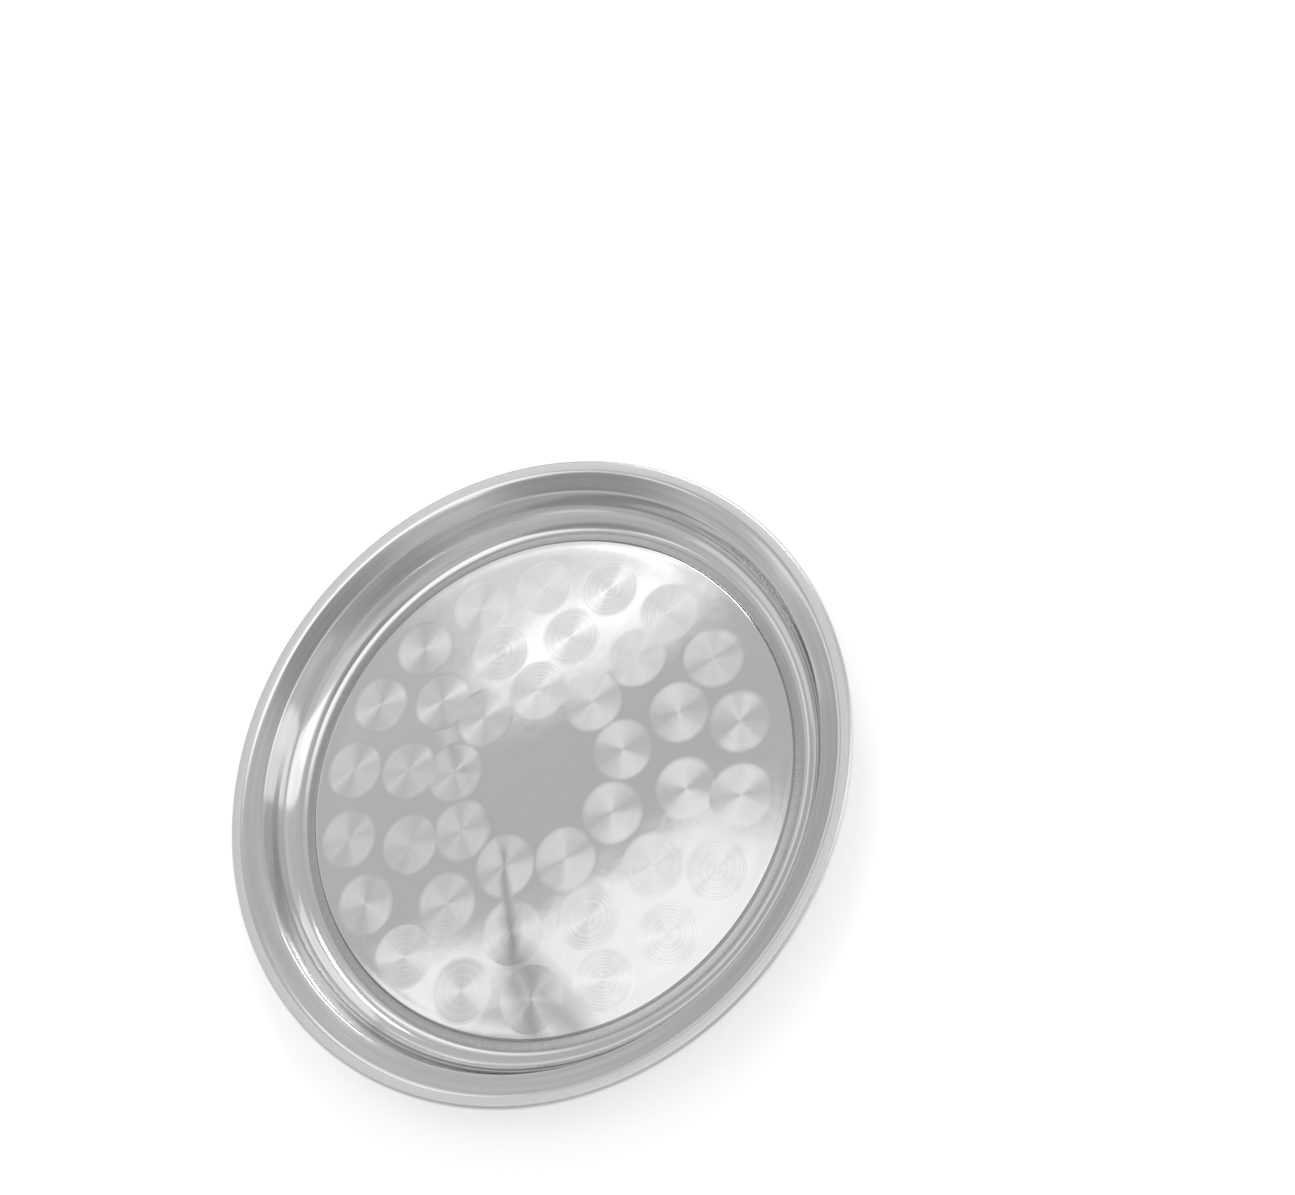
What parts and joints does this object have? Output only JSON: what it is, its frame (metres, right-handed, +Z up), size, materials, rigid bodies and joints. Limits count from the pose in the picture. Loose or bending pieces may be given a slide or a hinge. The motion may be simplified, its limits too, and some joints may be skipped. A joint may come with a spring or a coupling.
{
  "type": "round serving tray",
  "caption": "Round stainless serving tray with a raised flat floor, a steep wall, a sloping flange and a rolled rim stiffened by a wire; carries plates, glasses and food.",
  "frame": {"origin": "on the tray's axis, in the plane of the foot ring that it stands on", "axes": "+Z up along the tray's axis, out of the well; the tray is round, so X and Y are free"},
  "size_m": [0.3556, 0.3556, 0.0289],
  "materials": {
    "polished_sheet": "polished border, satin floor with rings of engine-turned spots",
    "drawn_wire": "dull drawn wire, hidden in the curl"
  },
  "bodies": {
    "root": {"tray_pan": "polished_sheet", "rim_wire": "drawn_wire"}
  },
  "joints": []
}
